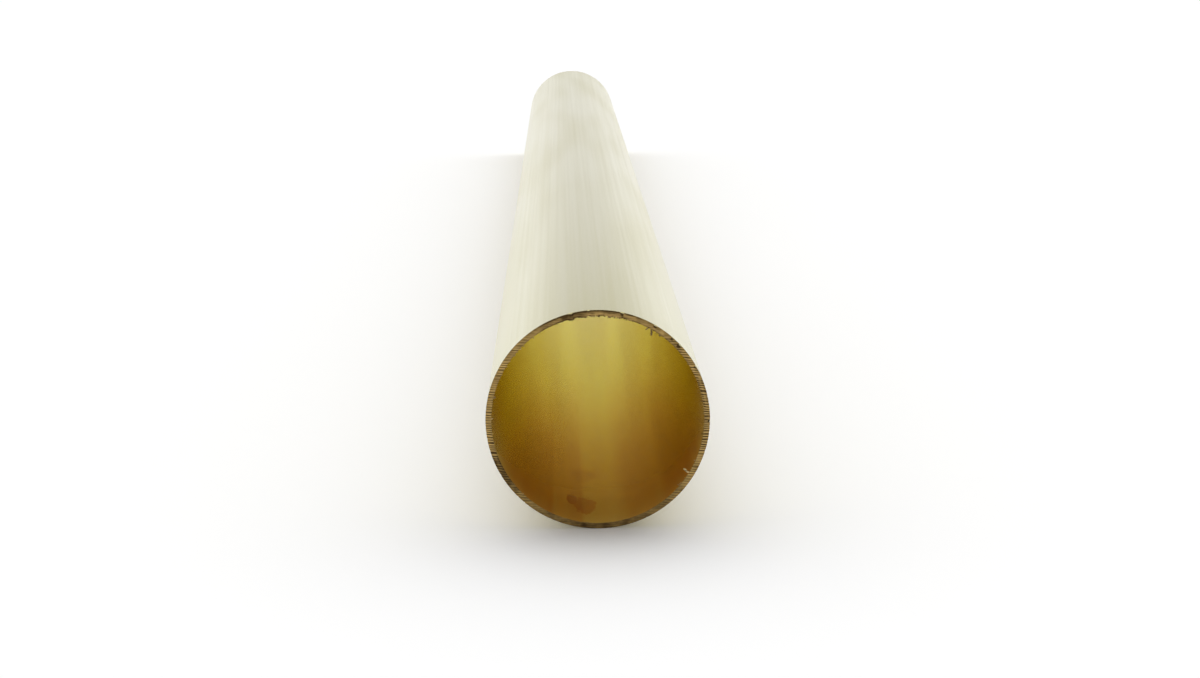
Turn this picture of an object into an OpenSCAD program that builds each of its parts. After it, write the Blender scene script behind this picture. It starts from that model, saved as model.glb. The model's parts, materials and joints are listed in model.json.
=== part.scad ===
// Round brass tube stock, drawn seamless and sawn square at both ends.
// It lies on the floor with its axis along Y. The origin is on the floor below the middle of its length.

/* [Tube] */
// Outside diameter
outside_d = 57.15; // [12.7:0.05:152.4]
// Thickness of the wall
wall = 1.473; // [0.5:0.001:6]
// Length between the two sawn ends
cut_length = 914.4; // [100:0.1:3660]

/* [Sawn ends] */
// Leg of the small bevel left where the saw burr is broken off each arris
edge_break = 0.12; // [0.02:0.01:0.2]

/* [Hidden] */
outside_r = outside_d / 2;
bore_r = outside_r - wall;
facets = 192;

// Half of the wall's section: x is the distance from the axis, y runs along the tube from its middle.
// Each end has a flat annular face between an outer and an inner bevel.
module wall_section() {
    end_y = cut_length / 2;
    half = [
        [bore_r, end_y - edge_break],
        [bore_r + edge_break, end_y],
        [outside_r - edge_break, end_y],
        [outside_r, end_y - edge_break]
    ];
    other_half = [for (i = [3:-1:0]) [half[i].x, -half[i].y]];
    polygon(concat(half, other_half));
}

// The whole tube is one drawn piece, with a true round wall inside and out.
module tube() {
    color("#d8c88f")
        translate([0, 0, outside_r])
            rotate([-90, 0, 0])
                rotate_extrude($fn = facets)
                    wall_section();
}

tube();
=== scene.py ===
import json
import math

import bpy
from mathutils import Matrix, Vector


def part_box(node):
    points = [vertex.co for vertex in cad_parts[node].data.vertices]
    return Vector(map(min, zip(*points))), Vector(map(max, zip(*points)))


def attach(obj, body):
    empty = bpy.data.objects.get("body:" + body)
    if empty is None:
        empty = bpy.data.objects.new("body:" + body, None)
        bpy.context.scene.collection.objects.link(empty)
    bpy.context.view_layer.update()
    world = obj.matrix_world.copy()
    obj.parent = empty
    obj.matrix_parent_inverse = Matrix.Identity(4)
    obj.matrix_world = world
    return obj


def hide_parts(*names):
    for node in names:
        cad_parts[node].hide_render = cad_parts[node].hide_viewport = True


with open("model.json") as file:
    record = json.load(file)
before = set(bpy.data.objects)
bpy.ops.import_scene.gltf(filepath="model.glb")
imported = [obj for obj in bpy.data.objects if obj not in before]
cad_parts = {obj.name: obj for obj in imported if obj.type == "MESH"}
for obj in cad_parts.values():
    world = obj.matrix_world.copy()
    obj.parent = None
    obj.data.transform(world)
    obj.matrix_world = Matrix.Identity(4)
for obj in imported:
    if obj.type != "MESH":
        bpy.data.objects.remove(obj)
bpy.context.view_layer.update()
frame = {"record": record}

# Sizes that everything below is worked out from, in metres
mm = 0.001
tubeLow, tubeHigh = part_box("tube")
tubeLength = tubeHigh.y - tubeLow.y
outsideRadius = (tubeHigh.x - tubeLow.x) / 2
boreMount = next(m for m in frame["record"]["mounts"] if m["name"] == "bore")
boreRadius = boreMount["dims"]["r_mm"] * mm
edgeBreak = (tubeLength - boreMount["dims"]["length_mm"] * mm) / 2


class Wire:  # one socket in a node tree, so that maths on it reads as plain Python
    def __init__(self, tree, socket):
        self.tree = tree
        self.socket = socket

    def other(self, output):
        return Wire(self.tree, self.socket.node.outputs[output])

    def math(self, operation, *values, clamp=False):
        settings = {"operation": operation, "use_clamp": clamp}
        return addNode(self.tree, "ShaderNodeMath", settings, dict(enumerate(values)))

    def __add__(self, value):
        return self.math("ADD", self, value)

    def __radd__(self, value):
        return self.math("ADD", value, self)

    def __sub__(self, value):
        return self.math("SUBTRACT", self, value)

    def __rsub__(self, value):
        return self.math("SUBTRACT", value, self)

    def __mul__(self, value):
        return self.math("MULTIPLY", self, value)

    def __rmul__(self, value):
        return self.math("MULTIPLY", value, self)

    def __truediv__(self, value):
        return self.math("DIVIDE", self, value)

    def __pow__(self, value):
        return self.math("POWER", self, value)

    def sin(self):
        return self.math("SINE", self)

    def cos(self):
        return self.math("COSINE", self)

    def root(self):
        return self.math("SQRT", self)

    def size(self):
        return self.math("ABSOLUTE", self)

    def sign(self):
        return self.math("SIGN", self)

    def most(self, value):
        return self.math("MAXIMUM", self, value)

    def below(self, value):
        return self.math("LESS_THAN", self, value)

    def clamped(self):
        return self.math("ADD", self, 0.0, clamp=True)

    def faded(self, reach):  # 1 at nought, and about a third of that each reach further on
        return self.math("EXPONENT", self * (-1.0 / reach))

    def step(self, start, end):  # 0 at start, 1 at end, smooth between them
        part = ((self - start) / (end - start)).clamped()
        return part * part * (3.0 - 2.0 * part)

    def between(self, low, high):  # low where it is 0, high where it is 1
        return low + (high - low) * self


def addNode(tree, kind, settings=None, sockets=None, output=0):
    node = tree.nodes.new(kind)
    for name, value in (settings or {}).items():
        setattr(node, name, value)
    for key, value in (sockets or {}).items():
        for part in value if isinstance(value, list) else [value]:
            if isinstance(part, Wire):
                tree.links.new(part.socket, node.inputs[key])
            else:
                node.inputs[key].default_value = part
    return Wire(tree, node.outputs[output]) if node.outputs else node


def splitVector(vector):
    x = addNode(vector.tree, "ShaderNodeSeparateXYZ", None, {0: vector})
    return x, x.other(1), x.other(2)


def joinVector(tree, x, y, z):
    return addNode(tree, "ShaderNodeCombineXYZ", None, {0: x, 1: y, 2: z})


def noise(tree, x, y, z, detail=1.0, seed=0.0):  # about 0.5, mostly from 0.25 to 0.75
    place = joinVector(tree, x, y, z + seed)
    sockets = {"Vector": place, "Scale": 1.0, "Detail": detail}
    return addNode(tree, "ShaderNodeTexNoise", {"noise_dimensions": "3D"}, sockets)


def streaks(tree, x, y, z, width, length, detail=1.0, seed=0.0):  # noise drawn out along the tube
    return noise(tree, x / width, y / length, z / width, detail, seed)


def endNoise(tree, x, y, z, size, apart, detail=1.0, seed=0.0):  # apart makes the two ends differ
    width, height = size
    return noise(tree, x / width, y * apart, z / height, detail, seed)


def mixColour(factor, first, second):
    first, second = [(*c, 1.0) if isinstance(c, tuple) else c for c in (first, second)]
    sockets = {0: factor, 6: first, 7: second}
    return addNode(factor.tree, "ShaderNodeMix", {"data_type": "RGBA"}, sockets, 2)


# Camera: in front of the sawn end, a little above it and a touch left of the axis

cameraSettings = {
    "lens": 60.0,
    "sensor": 36.0,
    "beforeEnd": 494.5 * mm,
    "sideways": -8.5 * mm,
    "height": 149.3 * mm,
    "pitchDown": 11.386,
    "yawRight": 1.076,
    "roll": -0.67,
    "nearest": 10.0 * mm,
    "farthest": 50.0,
}


def makeCamera(settings):
    data = bpy.data.cameras.new("camera")
    data.lens = settings["lens"]
    data.sensor_width = settings["sensor"]
    data.clip_start = settings["nearest"]
    data.clip_end = settings["farthest"]
    camera = bpy.data.objects.new("camera", data)
    bpy.context.scene.collection.objects.link(camera)
    turn = Matrix.Rotation(math.radians(-settings["yawRight"]), 3, "Z")
    turn = turn @ Matrix.Rotation(math.radians(90.0 - settings["pitchDown"]), 3, "X")
    turn = turn @ Matrix.Rotation(math.radians(settings["roll"]), 3, "Z")
    place = Vector((settings["sideways"], tubeLow.y - settings["beforeEnd"], settings["height"]))
    camera.matrix_world = Matrix.LocRotScale(place, turn, None)
    bpy.context.scene.camera = camera


makeCamera(cameraSettings)
print("camera placed")


# Marks on the sawn ends. The same maths makes their relief and their colour.

sawSettings = {
    "pitch": 0.66 * mm,
    "tilt": 4.0,  # degrees from level
    "wander": 2.0,  # turns of the marks that their spacing drifts by
    "wanderSize": (9.0 * mm, 2.2 * mm),
    "depth": 0.06 * mm,
    "ridgeShare": 0.7,  # how much of that depth the marks have
    "scratchShare": 0.4,  # and the fine scratches
    "scratchSize": (4.0 * mm, 0.13 * mm),
    "patchSize": (3.5 * mm, 3.5 * mm),
    "patchEdge": (0.36, 0.6),
    "leastInPatch": 0.35,  # how much the marks show where a patch hides them
    "flankEdge": (0.2, 0.85),
    "leastOnFlank": 0.1,  # and where they run along the wall
}

nickSettings = {
    "depth": 0.25 * mm,
    "ragged": 2.5,  # degrees that a nick's side wanders by
    "raggedSize": (0.5 * mm, 0.5 * mm),
    "fullWidth": 0.4,  # the share of its width, and below of its reach, over which a nick is full
    "fullReach": 0.6,
    "places": [  # degrees round the front end from +X, width along the rim, reach in from the outer arris
        (103.0, 1.6 * mm, 0.9 * mm),
        (94.0, 0.6 * mm, 0.5 * mm),
        (76.5, 1.2 * mm, 1.3 * mm),
        (58.5, 1.0 * mm, 0.8 * mm),
        (47.5, 0.8 * mm, 0.9 * mm),
        (42.5, 1.1 * mm, 1.2 * mm),
        (28.5, 0.9 * mm, 0.7 * mm),
        (-1.5, 0.6 * mm, 0.7 * mm),
    ],
}


def sawMarks(tree, x, y, z, settings):
    tilt = math.radians(settings["tilt"])
    across = z * math.cos(tilt) + x * math.sin(tilt)
    along = x * math.cos(tilt) - z * math.sin(tilt)
    drift = endNoise(tree, along, y, across, settings["wanderSize"], 3.0) - 0.5
    turns = across / settings["pitch"] + settings["wander"] * drift
    ridge = (turns * math.tau).sin() * 0.5 + 0.5
    fine = endNoise(tree, along, y, across, settings["scratchSize"], 7.0, 2.0)
    patch = endNoise(tree, x, y, z, settings["patchSize"], 5.0, seed=4.0)
    patch = patch.step(*settings["patchEdge"])
    flank = (x * x / (x * x + z * z)).step(*settings["flankEdge"])  # 1 where they cross the wall
    shown = flank.between(settings["leastOnFlank"], 1.0) * patch.between(settings["leastInPatch"], 1.0)
    return ridge, fine, shown


def fromAxis(x, z):
    return (x * x + z * z).root()


def roundTheEnd(x, y, z):  # degrees from +X, turned a quarter at the back so that the ends differ
    back = (y * -1.0).below(0.0)
    level = x + back * (z - x)
    upright = z - back * (z + x)
    return upright.math("ARCTAN2", upright, level) * (360.0 / math.tau)


def nickMask(tree, x, y, z, settings):
    wander = endNoise(tree, x, y, z, settings["raggedSize"], 9.0, seed=15.0) - 0.5
    angle = roundTheEnd(x, y, z) + wander * settings["ragged"]
    inward = outsideRadius - fromAxis(x, z)
    mask = angle * 0.0
    for degrees, width, reach in settings["places"]:
        half = math.degrees(width / 2 / outsideRadius)
        here = (angle - degrees).size().step(half, settings["fullWidth"] * half)
        mask = mask.most(here * inward.step(reach, settings["fullReach"] * reach))
    return mask


# The finishes of the brass. Noise is about 0.5, so 0.5 off it leaves a finish as bright as it is set.

drawnSettings = {
    "brass": (0.76, 0.68, 0.44),
    "tarnish": (0.65, 0.575, 0.25),
    "lowAngle": (0.97, 1.0, 1.0),  # it mirrors a little less red where it is seen almost edge on
    "roughness": 0.20,
    "streakWidth": 4.0 * mm,
    "streakLength": 350.0 * mm,
    "drawWidth": 0.9 * mm,
    "drawLength": 400.0 * mm,
    "patchWidth": 22.0 * mm,
    "patchLength": 170.0 * mm,
    "patchEdge": (0.35, 0.75),
    "patchUsual": 0.4,
    "handled": 130.0 * mm,  # how far the duller colour of the ends reaches
    "tarnished": {"all": 0.1, "handled": 0.45, "patch": 0.3, "streak": 0.4, "draw": 0.15},
    "roughened": {"streak": 0.04, "draw": 0.04, "patch": 0.03},
    "relief": 0.001 * mm,
}

boreSettings = {
    "brass": (0.912, 0.858, 0.312),
    "film": (0.50, 0.16, 0.065),  # what it lets through: partly a brown film, partly painted shade, thickest at the open end and along the bottom
    "filmMost": 1.32,
    "filmReach": 100.0 * mm,
    "filmStreaks": 0.4,
    "filmAbove": 0.15,  # how much of it there is on the sides and above
    "filmEdge": (-0.68, -0.1),  # from where to where it thins out, in radii up from the axis
    "filmNarrows": 2.3,  # how much lower its edge is for each metre in, in radii
    "filmTilt": 0.13,  # how much higher its edge is on the right, in radii
    "mouthReach": 40.0 * mm,  # how far in from the ends it is duller
    "frontDull": 0.7,  # along the bottom
    "sideDull": 0.3,  # on the sides and above
    "frontFilm": 0.5,  # how much of the film is left at the open end
    "backDull": 0.45,
    "backRough": 0.2,
    "backFilm": 0.3,  # and at the back end
    "roughness": 0.20,
    "streakRough": 0.05,
    "streakWidth": 5.0 * mm,
    "streakLength": 300.0 * mm,
    "relief": 0.002 * mm,
    "wipedWander": 5.0,  # degrees
    "wipedStart": (-2.0, 1.5),  # how soft the first edge of a wiped streak is, in degrees
    "wiped": [  # from and to in degrees round from +X, how soft the second edge is, how much film is gone
        (-98.0, -75.0, 8.0, 0.34),
        (-116.0, -50.0, 3.0, 0.24),
    ],
    "stainNoise": (2.0 * mm, 4.0 * mm),  # sideways and along
    "stainEdge": (1.15, 0.85),
    "stains": [  # sideways, depth from the front end, half width, half length, how much film they add
        (-6.8 * mm, 19.5 * mm, 1.5 * mm, 4.4 * mm, 0.52),
        (-3.5 * mm, 15.5 * mm, 2.8 * mm, 7.5 * mm, 0.36),
        (-3.4 * mm, 46.0 * mm, 3.4 * mm, 6.0 * mm, 0.14),
    ],
}

sawnSettings = {
    "bright": (0.54, 0.36, 0.125),
    "dull": (0.07, 0.042, 0.015),
    "plain": 0.43,  # how bright it is between the two on the whole
    "ladder": 1.1,  # how much the saw marks show
    "scratches": 0.8,
    "blotches": 0.8,
    "nickShade": 0.6,  # how much darker a nick is: painted shade in the dent
    "roughness": 0.36,
    "dullRough": 0.2,  # how much rougher it is where it is dull
    "relief": 0.02 * mm,
    "blotchSize": (2.2 * mm, 2.2 * mm),
    "outerDirtAndShade": (95.0, 36.0, 0.55 * mm, 0.42),  # degrees, how far to each side, how wide, how much: a dark line on the outer arris, partly dirt and partly painted shade on the edge break
    "outerWander": 0.4 * mm,
    # a painted shadow under the torn lip of the bore, in patches
    "lipShadow": (86.0, 48.0, 0.35 * mm, 0.4),
    "lipSize": (1.1 * mm, 0.5 * mm),
    "lipEdge": (0.4, 0.6),
    "grimeAndShadeTurn": 12.0,  # degrees that it wanders by
    "grimeAndShade": [  # degrees round the front end, how far to each side, how much darker; partly grime, partly painted shade, mostly in the lower entries, where the rim mirrors the floor's shadow
        (100.0, 30.0, 0.08),
        (102.0, 8.0, 0.16),
        (18.0, 13.0, 0.12),
        (-151.0, 16.0, 0.42),
        (-90.0, 50.0, 0.2),
    ],
    "smearTurn": 6.0,
    "smearWander": 0.6 * mm,
    "smearEdge": (0.25, 0.6),
    "smears": [  # degrees round the front end, how far to each side, how far in, half width, how much
        (15.0, 12.0, 0.7 * mm, 0.3 * mm, 0.25),
        (56.0, 4.0, 0.9 * mm, 0.4 * mm, 0.3),
        (73.0, 5.0, 0.6 * mm, 0.4 * mm, 0.3),
        (87.0, 14.0, 1.15 * mm, 0.4 * mm, 0.25),
        (-158.0, 5.0, 0.8 * mm, 0.4 * mm, 0.25),
    ],
}

# Torn metal of the burrs, paler than the sawn face and darker towards the top
tornSettings = {
    **sawnSettings,
    "bright": (0.72, 0.55, 0.27),
    "plain": 0.6,
    "roughness": 0.5,
    "lipShadow": (86.0, 48.0, 0.4 * mm, 0.1),
    "grimeAndShade": [(90.0, 60.0, 0.35)],
    "smears": [],
}


def newMaterial(name):
    material = bpy.data.materials.new(name)
    material.use_nodes = True
    material.node_tree.nodes.clear()
    tree = material.node_tree
    coordinates = addNode(tree, "ShaderNodeTexCoord")
    x, y, z = splitVector(coordinates.other("Object"))
    return material, tree, x, y, z - outsideRadius


def closeMaterial(tree, colour, roughness, height, relief, others=None):
    bump = {"Height": height, "Distance": relief, "Strength": 1.0}
    normal = addNode(tree, "ShaderNodeBump", None, bump)
    sockets = {"Base Color": colour, "Roughness": roughness, "Normal": normal, "Metallic": 1.0}
    sockets.update(others or {})
    shader = addNode(tree, "ShaderNodeBsdfPrincipled", None, sockets)
    addNode(tree, "ShaderNodeOutputMaterial", None, {"Surface": shader})


def drawnBrass(settings):
    material, tree, x, y, z = newMaterial("drawn_brass")
    streak = streaks(tree, x, y, z, settings["streakWidth"], settings["streakLength"])
    drawn = streaks(tree, x, y, z, settings["drawWidth"], settings["drawLength"], 0.0, seed=2.0)
    patch = streaks(tree, x, y, z, settings["patchWidth"], settings["patchLength"], seed=7.0)
    patch = patch.step(*settings["patchEdge"])
    handled = (tubeLength / 2 - y.size()).faded(settings["handled"])
    much = settings["tarnished"]
    tarnish = much["all"] + handled * much["handled"] + (patch - settings["patchUsual"]) * much["patch"]
    tarnish = tarnish + (streak - 0.5) * much["streak"] + (drawn - 0.5) * much["draw"]
    colour = mixColour(tarnish.clamped(), settings["brass"], settings["tarnish"])
    much = settings["roughened"]
    roughness = settings["roughness"] + (streak - 0.5) * much["streak"]
    roughness = roughness + (drawn - 0.5) * much["draw"] + patch * much["patch"]
    others = {"Specular Tint": (*settings["lowAngle"], 1.0)}
    closeMaterial(tree, colour, roughness, streak, settings["relief"], others)
    return material


def stainFilm(tree, x, y, z, settings):
    width, length = settings["stainNoise"]
    edge = noise(tree, x / width, y / length, z, 2.0, seed=31.0) - 0.5
    depth = y + tubeLength / 2
    film = x * 0.0
    for sideways, inward, halfWidth, halfLength, added in settings["stains"]:
        across = ((x - sideways) / halfWidth) ** 2.0
        along = ((depth - inward) / halfLength) ** 2.0
        film = film.most(((across + along).root() + edge).step(*settings["stainEdge"]) * added)
    return film * z.below(0.0)


def throughFilm(colour, film, thickness):  # a film twice as thick dims it twice over
    parts = [c * thickness.faded(-1.0 / math.log(f)) for c, f in zip(colour, film)]
    return addNode(thickness.tree, "ShaderNodeCombineColor", None, dict(enumerate(parts)))


# the bore's colour darkened: partly a brown film, partly painted shade that makes the bottom and the open
# end darker
def boreFilmAndShade(x, z, depth, streak, above, settings):
    reach = depth / settings["filmReach"]
    film = settings["filmMost"] * (reach * reach).faded(1.0) + (streak - 0.5) * settings["filmStreaks"]
    film = film * above.between(1.0, settings["filmAbove"])
    angle = z.math("ARCTAN2", z, x) * (360.0 / math.tau) + (streak - 0.5) * settings["wipedWander"]
    before, after = settings["wipedStart"]
    for start, end, soft, amount in settings["wiped"]:
        wiped = angle.step(start + before, start + after) * (end - angle).step(-soft, soft)
        film = film * (1.0 - amount * wiped)
    return film.most(0.0)


def boreBrass(settings):
    material, tree, x, y, z = newMaterial("bore_brass")
    streak = streaks(tree, x, y, z, settings["streakWidth"], settings["streakLength"], seed=5.0)
    depth = tubeLength / 2 - y.size()
    height = (z - x * settings["filmTilt"]) / boreRadius
    above = (height + depth * settings["filmNarrows"]).step(*settings["filmEdge"])
    mouth = depth.faded(settings["mouthReach"])
    back = mouth * (y * -1.0).below(0.0)
    front = mouth - back
    kept = 1.0 - (1.0 - settings["backFilm"]) * back - (1.0 - settings["frontFilm"]) * front
    film = boreFilmAndShade(x, z, depth, streak, above, settings) * kept + stainFilm(tree, x, y, z, settings)
    colour = throughFilm(settings["brass"], settings["film"], film)
    roughness = settings["roughness"] + (streak - 0.5) * settings["streakRough"]
    roughness = roughness + back * settings["backRough"]
    dull = back * settings["backDull"] + front * above.between(settings["frontDull"], settings["sideDull"])
    others = {"Metallic": 1.0 - dull, "Specular IOR Level": 0.0}  # the dull part has no shine of its own
    closeMaterial(tree, colour, roughness, streak, settings["relief"], others)
    return material


# darker bands round the rim: grime, and painted shade where the rim mirrors the floor's shadow
def grimeAndShadeMask(angle, places):
    mask = angle * 0.0
    for degrees, half, amount in places:
        mask = mask + (angle - degrees).size().step(half, 0.45 * half) * amount
    return mask


def smearMask(angle, inward, fine, settings):
    mask = angle * 0.0
    for degrees, half, middle, halfWidth, amount in settings["smears"]:
        along = (angle - degrees).size().step(half, 0.5 * half)
        across = (inward - middle).size().step(halfWidth, 0.4 * halfWidth)
        mask = mask + along * across * amount
    return mask * fine.step(*settings["smearEdge"])


# a dark band along an arris of the sawn face, used for painted shade
def edgeLine(angle, distance, degrees, half, width, amount):
    along = (angle - degrees).size().step(half, 0.5 * half)
    return along * distance.step(width, 0.4 * width) * amount


def sawnBrass(name, settings, saw, nicks):
    material, tree, x, y, z = newMaterial(name)
    ridge, fine, shown = sawMarks(tree, x, y, z, saw)
    nick = nickMask(tree, x, y, z, nicks)
    angle = roundTheEnd(x, y, z)
    inward = outsideRadius - fromAxis(x, z)
    blotch = endNoise(tree, x, y, z, settings["blotchSize"], 3.0, 2.0, seed=12.0) - 0.5
    # grime and painted shade at the listed places round the rim
    grimeAndShade = grimeAndShadeMask(angle + blotch * settings["grimeAndShadeTurn"], settings["grimeAndShade"])
    smearAngle = angle + blotch * settings["smearTurn"]
    smear = smearMask(smearAngle, inward + blotch * settings["smearWander"], fine, settings)
    blob = endNoise(tree, x, y, z, settings["lipSize"], 3.0, seed=17.0).step(*settings["lipEdge"])
    # outer arris darker: partly dirt, partly painted shade
    outer = edgeLine(angle, inward - blotch * settings["outerWander"], *settings["outerDirtAndShade"])
    # painted shadow in patches under the torn lip
    lip = edgeLine(angle, outsideRadius - boreRadius - inward, *settings["lipShadow"]) * blob
    shade = settings["plain"] + (ridge - 0.5) * shown * settings["ladder"]
    shade = shade + (fine - 0.5) * settings["scratches"] + blotch * settings["blotches"]
    shade = (shade + smear - grimeAndShade - nick * settings["nickShade"] - outer - lip).clamped()
    colour = mixColour(shade, settings["dull"], settings["bright"])
    roughness = settings["roughness"] + (1.0 - shade) * settings["dullRough"]
    closeMaterial(tree, colour, roughness, fine, settings["relief"])
    return material


finishes = {
    "outside": drawnBrass(drawnSettings),
    "bore": boreBrass(boreSettings),
    "sawn": sawnBrass("sawn_brass", sawnSettings, sawSettings, nickSettings),
}
tornBrass = sawnBrass("torn_brass", tornSettings, sawSettings, nickSettings)
finishNumbers = {name: number for number, name in enumerate(finishes)}
print("finishes made:", ", ".join(finishes))


# Geometry node trees and how they are run

def newTree(name, inputs):
    tree = bpy.data.node_groups.new(name, "GeometryNodeTree")
    for label, kind in inputs.items():
        tree.interface.new_socket(label, in_out="INPUT", socket_type=kind)
    tree.interface.new_socket("Geometry", in_out="OUTPUT", socket_type="NodeSocketGeometry")
    return tree, addNode(tree, "NodeGroupInput")


def closeTree(tree, geometry, materials):
    geometry = addNode(tree, "GeometryNodeRealizeInstances", None, {0: geometry})
    for selection, material in materials:
        sockets = {"Geometry": geometry, "Selection": selection, "Material": material}
        geometry = addNode(tree, "GeometryNodeSetMaterial", None, sockets)
    addNode(tree, "NodeGroupOutput", None, {0: geometry})


def runTree(tree, name, values):
    piece = bpy.data.objects.new(name, bpy.data.meshes.new(name))
    bpy.context.scene.collection.objects.link(piece)
    modifier = piece.modifiers.new(name, "NODES")
    modifier.node_group = tree
    for item in tree.interface.items_tree:
        if item.in_out == "INPUT":
            modifier[item.identifier] = values[item.name]
    bpy.context.view_layer.update()
    shown = piece.evaluated_get(bpy.context.evaluated_depsgraph_get())
    mesh = bpy.data.meshes.new_from_object(shown)
    piece.modifiers.clear()
    piece.data = mesh
    return piece


# The tube's wall, swept round its axis one strip after another

wallSettings = {
    "segments": 1536,
    "faceRows": 12,
    "bevelRows": 2,
    "easedEdge": 0.05 * mm,
    "edgeRows": 5,
    "edgeZone": 2.0 * mm,
    "mouthZone": 60.0 * mm,
    "middleRows": 2,
    "merged": 0.002 * mm,  # how close the points of two strips are that become one
    "faceReach": 2.2,  # how far in from the end the saw marks reach, in edge breaks
    "nickReach": 2.0,  # how far in a nick reaches, in its own depths
    "chipReach": 0.5 * mm,
    "chipDepth": 0.14 * mm,
    "chipSize": (1.3 * mm, 0.8 * mm),
    "chipEdge": (0.56, 0.74),
    "chipInward": 0.6,  # how far it goes in along the tube, as a share of its depth
    "tearReach": 0.8 * mm,
    "tearDepth": 0.1 * mm,
    "tearSize": (0.7 * mm, 0.45 * mm),
    "topTear": 0.42 * mm,  # how far the torn lip hangs into the bore at the top of the front end
    "topPlace": 92.0,  # degrees round the front end
    "topReach": (26.0, 8.0),  # degrees to each side where the lip ends, and up to which it is full
    "topSize": (0.8 * mm, 0.8 * mm),
    "topEdge": (0.45, 0.62),
    "mapWidths": {"edge": 16, "mouth": 100, "middle": 240, "bevel": 5, "face": 24, "gap": 4},
}


def wallStrips(group, settings):
    outside, bore = group.other("Outside Radius"), group.other("Bore Radius")
    half, eased = group.other("Length") / 2.0, group.other("Eased Edge")
    edge, mouth = half - settings["edgeZone"], half - settings["mouthZone"]
    width = settings["mapWidths"]

    def skin(radius, way, finish):  # along the tube, towards the back where way is 1
        places = [eased - half, -1.0 * edge, -1.0 * mouth, mouth, edge]
        rows = [settings["edgeRows"], 1, settings["middleRows"], 1, settings["edgeRows"]]
        widths = [width["edge"], width["mouth"], width["middle"], width["mouth"], width["edge"]]
        return [(radius, way * y, finish, n, w) for y, n, w in zip(places, rows, widths)]

    def sawnEnd(side, start, stop):  # across the wall from one radius to the other
        inset = -side * eased
        return [
            (start, side * (half - eased), "sawn", settings["bevelRows"], width["bevel"]),
            (start + inset, side * half, "sawn", settings["faceRows"], width["face"]),
            (stop - inset, side * half, "sawn", settings["bevelRows"], width["bevel"]),
        ]

    rings = skin(outside, 1, "outside") + sawnEnd(1, outside, bore)
    rings += skin(bore, -1, "bore") + sawnEnd(-1, bore, outside)
    return list(zip(rings, rings[1:] + rings[:1]))


def mapPlaces(strips, gap):  # where each strip starts and ends across the bake's map, from 0 to 1
    places, at = [], 0
    for number, (start, end) in enumerate(strips):
        changed = number > 0 and start[2] != strips[number - 1][0][2]
        at += gap * changed
        places.append((at, at + start[4]))
        at += start[4]
    return [(low / at, high / at) for low, high in places]


def addStrip(tree, group, start, end, mapPlace):
    radius, length, finish, rows, _ = start
    around = group.other("Segments") + 1
    sockets = {"Size X": 1.0, "Size Y": 1.0, "Vertices X": around, "Vertices Y": rows + 1}
    strip = addNode(tree, "GeometryNodeMeshGrid", None, sockets)
    gridX, gridY, _ = splitVector(addNode(tree, "GeometryNodeInputPosition"))
    turn, part = gridX + 0.5, gridY + 0.5
    across = part.between(*mapPlace)
    sockets = {"Geometry": strip, "Name": "OFBake", "Value": joinVector(tree, across, turn, 0.0)}
    kinds = {"data_type": "FLOAT2", "domain": "CORNER"}
    strip = addNode(tree, "GeometryNodeStoreNamedAttribute", kinds, sockets)
    radius = part.between(radius, end[0])
    length = part.between(length, end[1])
    angle = turn * -math.tau  # this way round, so that the faces point outwards
    height = radius * angle.sin() + group.other("Outside Radius")
    place = joinVector(tree, radius * angle.cos(), length, height)
    strip = addNode(tree, "GeometryNodeSetPosition", None, {"Geometry": strip, "Position": place})
    sockets = {"Geometry": strip, "Name": "finish", "Value": float(finishNumbers[finish])}
    return addNode(tree, "GeometryNodeStoreNamedAttribute", {"domain": "FACE"}, sockets)


def chipped(tree, x, y, z, nearOuter, nick, nicks, settings):
    chip = endNoise(tree, x, y, z, settings["chipSize"], 11.0, 2.0, seed=9.0).step(*settings["chipEdge"])
    return chip * nearOuter * settings["chipDepth"] + nick * nearOuter * nicks["depth"]


def torn(tree, x, y, z, nearBore, settings):
    ragged = endNoise(tree, x, y, z, settings["tearSize"], 13.0, 2.0, seed=21.0)
    top = (roundTheEnd(x, y, z) - settings["topPlace"]).size().step(*settings["topReach"])
    lip = endNoise(tree, x, y, z, settings["topSize"], 13.0, seed=26.0).step(*settings["topEdge"])
    tear = (ragged - 0.5) * 2.0 * settings["tearDepth"] + lip * top * settings["topTear"]
    return tear * nearBore


def roughenEnds(tree, group, geometry, settings, saw, nicks):
    outside, bore = group.other("Outside Radius"), group.other("Bore Radius")
    x, y, z = splitVector(addNode(tree, "GeometryNodeInputPosition"))
    z = z - outside
    radius = fromAxis(x, z)
    depth = group.other("Length") / 2.0 - y.size()  # how far in from the nearer sawn face

    ridge, fine, shown = sawMarks(tree, x, y, z, saw)
    nick = nickMask(tree, x, y, z, nicks) * depth.step(settings["nickReach"] * nicks["depth"], 0.0)
    onFace = (1.0 - depth / (settings["faceReach"] * edgeBreak)).clamped()
    inward = onFace * saw["depth"] * (ridge * shown * saw["ridgeShare"] + fine * saw["scratchShare"])

    outer = (outside - radius) ** 2.0
    inner = (radius - bore) ** 2.0
    nearOuter = (outer + depth * depth).root().step(settings["chipReach"], 0.0)
    nearBore = (inner + depth * depth).root().step(settings["tearReach"], 0.0)
    chip = chipped(tree, x, y, z, nearOuter, nick, nicks, settings)
    tear = torn(tree, x, y, z, nearBore, settings)

    scale = (radius - chip - tear) / radius
    y = y - y.sign() * (inward + chip * settings["chipInward"] + nick * nicks["depth"] * onFace)
    place = joinVector(tree, x * scale, y, z * scale + outside)
    return addNode(tree, "GeometryNodeSetPosition", None, {"Geometry": geometry, "Position": place})


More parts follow.
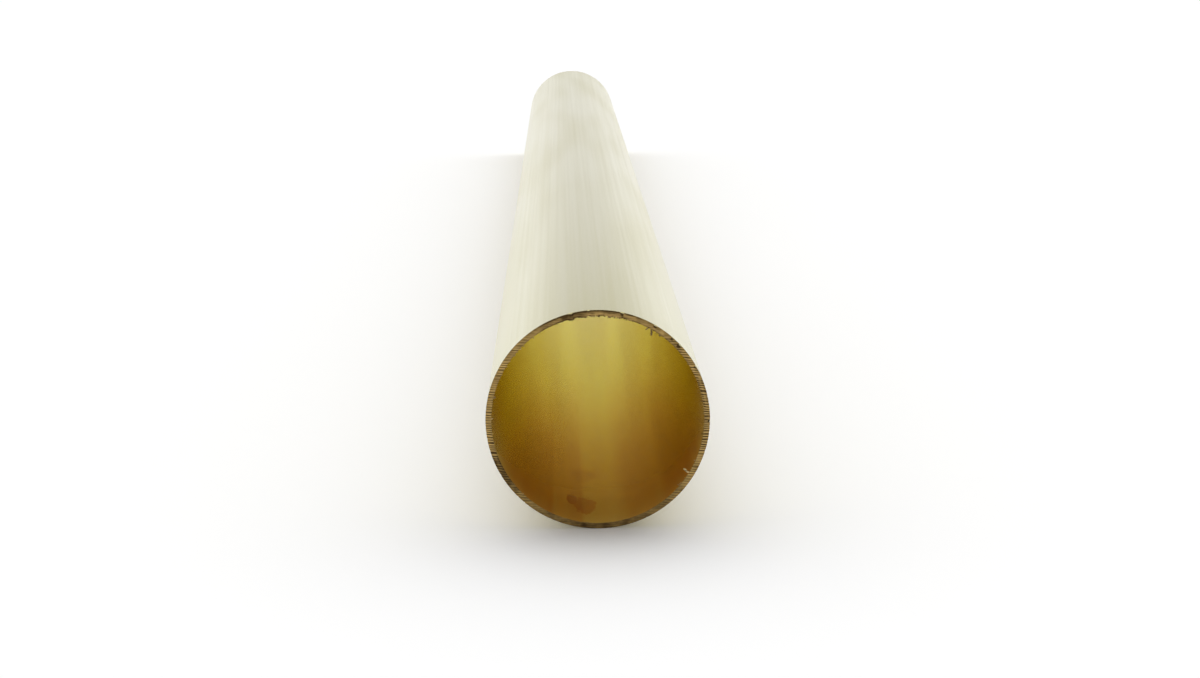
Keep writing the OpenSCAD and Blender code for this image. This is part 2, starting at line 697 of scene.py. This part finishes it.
def makeTube(settings, saw, nicks):
    sizes = {"Length": tubeLength, "Outside Radius": outsideRadius, "Bore Radius": boreRadius}
    sizes.update({"Eased Edge": settings["easedEdge"]})
    inputs = {"Segments": "NodeSocketInt"}
    inputs.update({name: "NodeSocketFloat" for name in sizes})
    inputs.update({name: "NodeSocketMaterial" for name in finishes})
    tree, group = newTree("tubeWall", inputs)
    strips = wallStrips(group, settings)
    places = mapPlaces(strips, settings["mapWidths"]["gap"])
    strips = [addStrip(tree, group, *strip, place) for strip, place in zip(strips, places)]
    wall = addNode(tree, "GeometryNodeJoinGeometry", None, {0: strips})
    sockets = {"Geometry": wall, "Distance": settings["merged"]}
    wall = addNode(tree, "GeometryNodeMergeByDistance", None, sockets)
    wall = roughenEnds(tree, group, wall, settings, saw, nicks)
    wall = addNode(tree, "GeometryNodeSetShadeSmooth", None, {"Geometry": wall})
    finish = addNode(tree, "GeometryNodeInputNamedAttribute", None, {"Name": "finish"})
    chosen = [((finish - n).size().below(0.5), group.other(name)) for name, n in finishNumbers.items()]
    closeTree(tree, wall, chosen)
    return runTree(tree, "tube_wall", {"Segments": settings["segments"], **sizes, **finishes})


tubeWall = makeTube(wallSettings, sawSettings, nickSettings)
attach(tubeWall, "root")
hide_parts("tube")
print("tube wall made:", len(tubeWall.data.polygons), "faces")


# Burrs that the saw left on the inner arris of both ends

burrSettings = {
    "count": 170,
    "shortest": 0.2 * mm,
    "longest": 0.65 * mm,
    "slimness": 0.2,  # half its width at the root, as a share of its length
    "straight": 0.6,  # how far up it starts to bend, as a share of its length
    "bend": 1.8,  # how far its tip leans over, in half widths
    "thinned": 0.9,  # how much thinner the tip is
    "steps": 5,  # along its length
    "sides": 6,  # round it
    "rooted": 0.1 * mm,  # how deep in the wall it starts
    "depth": 0.25 * mm,  # how far in from the sawn face
    "lean": 0.5,
    "even": 0.35,  # the more of this and the less of the next, the more evenly they stand round the bore
    "crowded": 0.4,
    "seed": 11,
    "large": [  # degrees round the front end, degrees that it points, length, half width, half thickness
        (59.5, -84.0, 1.5 * mm, 0.25 * mm, 0.13 * mm),
        (61.0, -140.0, 0.9 * mm, 0.18 * mm, 0.12 * mm),
        (-31.5, 149.0, 1.6 * mm, 0.28 * mm, 0.12 * mm),
    ],
}


def burrShape(tree, settings):  # one unit long towards +Z, bent towards +X, one unit in radius at its root
    middle, end = (0, 0, settings["straight"]), (settings["bend"], 0, 1)
    sockets = {"Resolution": settings["steps"], "Start": (0, 0, 0), "Middle": middle, "End": end}
    spine = addNode(tree, "GeometryNodeCurveQuadraticBezier", None, sockets)
    sockets = {"Resolution": settings["sides"], "Radius": 1.0}
    ring = addNode(tree, "GeometryNodeCurvePrimitiveCircle", None, sockets)
    along = addNode(tree, "GeometryNodeSplineParameter")
    thinner = 1.0 - along * settings["thinned"]
    sockets = {"Curve": spine, "Profile Curve": ring, "Scale": thinner, "Fill Caps": True}
    return addNode(tree, "GeometryNodeCurveToMesh", None, sockets)


def randomValue(tree, low, high, seed):
    return addNode(tree, "FunctionNodeRandomValue", None, {2: low, 3: high, "Seed": seed}, 1)


def burrTurn(tree, seed, settings):  # inwards across the bore, leaning a little, rolled at random
    x, y, z = splitVector(addNode(tree, "GeometryNodeInputPosition"))
    lean = settings["lean"]
    inX = x / -boreRadius + randomValue(tree, -lean, lean, seed + 2)
    inY = y.sign() * randomValue(tree, -lean, 0.0, seed + 3)
    inZ = (outsideRadius - z) / boreRadius + randomValue(tree, -lean, lean, seed + 4)
    sockets = {"Vector": joinVector(tree, inX, inY, inZ)}
    turn = addNode(tree, "FunctionNodeAlignRotationToVector", {"axis": "Z"}, sockets)
    sockets = {"Axis": (0.0, 0.0, 1.0), "Angle": randomValue(tree, 0.0, math.tau, seed + 5)}
    roll = addNode(tree, "FunctionNodeAxisAngleToRotation", None, sockets)
    return addNode(tree, "FunctionNodeRotateRotation", {"rotation_space": "LOCAL"}, {0: turn, 1: roll})


def scatterBurrs(tree, group, burr, settings):
    seed = group.other("Seed")
    spread = randomValue(tree, -1.0, 1.0, seed)
    spread = spread * (settings["even"] + settings["crowded"] * spread * spread)
    angle = (spread + 0.5) * math.pi  # closest together at the top
    side = randomValue(tree, -1.0, 1.0, seed + 1).sign()
    radius = boreRadius + settings["rooted"]
    length = side * (tubeLength / 2 - settings["depth"])
    place = joinVector(tree, angle.cos() * radius, length, angle.sin() * radius + outsideRadius)
    points = addNode(tree, "GeometryNodePoints", None, {"Count": group, "Position": place})

    turn = burrTurn(tree, seed, settings)
    size = randomValue(tree, group.other("Shortest"), group.other("Longest"), seed + 6)
    width = size * settings["slimness"]
    scale = joinVector(tree, width, width, size)
    sockets = {"Points": points, "Instance": burr, "Rotation": turn, "Scale": scale}
    return addNode(tree, "GeometryNodeInstanceOnPoints", None, sockets)


def placeBurr(tree, burr, settings, degrees, points, length, halfWidth, halfThickness):
    angle, points = math.radians(degrees), math.radians(points)
    radius = boreRadius + settings["rooted"]
    x, z = radius * math.cos(angle), radius * math.sin(angle) + outsideRadius
    place = (x, settings["depth"] - tubeLength / 2, z)
    along = Vector((math.cos(points), 0.0, math.sin(points)))
    side = Vector((math.sin(points), 0.0, -math.cos(points)))
    turn = Matrix((side, along.cross(side), along)).transposed().to_euler()
    scale = (halfWidth, halfThickness, length)
    sockets = {"Geometry": burr, "Translation": place, "Rotation": turn, "Scale": scale}
    return addNode(tree, "GeometryNodeTransform", None, sockets)


def makeBurrs(settings):
    inputs = {"Count": "NodeSocketInt", "Shortest": "NodeSocketFloat", "Longest": "NodeSocketFloat"}
    inputs.update({"Seed": "NodeSocketInt", "Brass": "NodeSocketMaterial"})
    tree, group = newTree("sawBurrs", inputs)
    burr = burrShape(tree, settings)
    burrs = [scatterBurrs(tree, group, burr, settings)]
    burrs += [placeBurr(tree, burr, settings, *large) for large in settings["large"]]
    burrs = addNode(tree, "GeometryNodeJoinGeometry", None, {0: burrs})
    burrs = addNode(tree, "GeometryNodeSetShadeSmooth", None, {"Geometry": burrs})
    closeTree(tree, burrs, [(True, group.other("Brass"))])
    values = {"Count": settings["count"], "Seed": settings["seed"], "Brass": tornBrass}
    values.update({"Shortest": settings["shortest"], "Longest": settings["longest"]})
    return runTree(tree, "saw_burrs", values)


sawBurrs = makeBurrs(burrSettings)
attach(sawBurrs, "root")
print("burrs made:", len(sawBurrs.data.polygons), "faces")


# Floor and light. A height or a direction is a part of 1, and 1 is straight up or straight ahead.

floorSettings = {
    "colour": (0.94, 0.94, 0.94),
    "side": 12.0,
    "lift": 0.06,  # how much paler it shows than it is lit
}

lightSettings = {
    "low": 0.62,  # up to about sixteen degrees above the floor
    "behind": 2.08,  # higher up, beyond the far end
    "overCamera": 0.12,  # higher up, on the camera's side
    "rise": (0.28, 0.55),  # heights where it goes over from low to high
    "turn": (-0.35, 0.35),  # where it goes over from the camera's side to the far one
    "shownAhead": 0.635,  # as metal shows it beyond the far end, a little above the floor
    "aheadFall": (0.22, 0.05),  # heights: from the second down to the floor it shows white
    "aheadTurn": (0.8, 0.95),
    "shownHalfway": 0.6,  # in the other directions, about thirty degrees up
    "halfwayRise": (0.0, 0.5),
    "shownOverhead": 1.0,
    "overheadRise": (0.4, 0.95),
}


def seenDirectly(tree):  # a mask for what the camera sees, and one for what shows in metal or glass
    camera = addNode(tree, "ShaderNodeLightPath")
    return camera, camera.other("Is Glossy Ray").most(camera.other("Is Transmission Ray"))


def makeFloor(settings):
    half = settings["side"] / 2
    corners = [(-half, -half, 0.0), (half, -half, 0.0), (half, half, 0.0), (-half, half, 0.0)]
    mesh = bpy.data.meshes.new("floor")
    mesh.from_pydata(corners, [], [(0, 1, 2, 3)])
    floor = bpy.data.objects.new("floor", mesh)
    bpy.context.scene.collection.objects.link(floor)
    material = bpy.data.materials.new("pale_floor")
    material.use_nodes = True
    tree = material.node_tree
    tree.nodes.clear()
    camera, mirrored = seenDirectly(tree)
    plain = addNode(tree, "ShaderNodeBsdfDiffuse", None, {"Color": (*settings["colour"], 1.0)})
    glow = addNode(tree, "ShaderNodeEmission", None, {"Strength": settings["lift"]})
    lifted = addNode(tree, "ShaderNodeAddShader", None, {0: plain, 1: glow})
    shader = addNode(tree, "ShaderNodeMixShader", None, {0: camera.most(mirrored), 1: plain, 2: lifted})
    addNode(tree, "ShaderNodeOutputMaterial", None, {"Surface": shader})
    mesh.materials.append(material)


def makeLight(settings):
    world = bpy.data.worlds.new("studio")
    bpy.context.scene.world = world
    world.use_nodes = True
    tree = world.node_tree
    tree.nodes.clear()
    x, y, z = splitVector(addNode(tree, "ShaderNodeTexCoord"))
    high = y.step(*settings["turn"]).between(settings["overCamera"], settings["behind"])
    strength = z.step(*settings["rise"]).between(settings["low"], high)

    ahead = z.step(*settings["aheadFall"]).between(settings["shownAhead"], 1.0)
    halfway, overhead = settings["shownHalfway"], settings["shownOverhead"]
    shown = 1.0 - (1.0 - halfway) * z.step(*settings["halfwayRise"])
    shown = shown + (overhead - halfway) * z.step(*settings["overheadRise"])
    shown = y.step(*settings["aheadTurn"]).between(shown, ahead)

    camera, mirrored = seenDirectly(tree)
    strength = strength + (1.0 - strength) * camera + (shown - strength) * mirrored
    sockets = {"Strength": strength, "Color": (1.0, 1.0, 1.0, 1.0)}
    shader = addNode(tree, "ShaderNodeBackground", None, sockets)
    addNode(tree, "ShaderNodeOutputWorld", None, {"Surface": shader})


makeFloor(floorSettings)
makeLight(lightSettings)

scene = bpy.context.scene
scene.view_settings.view_transform = "Standard"
scene.cycles.max_bounces = 16  # light is mirrored many times down the bore
scene.cycles.glossy_bounces = 16
print("floor and light made")
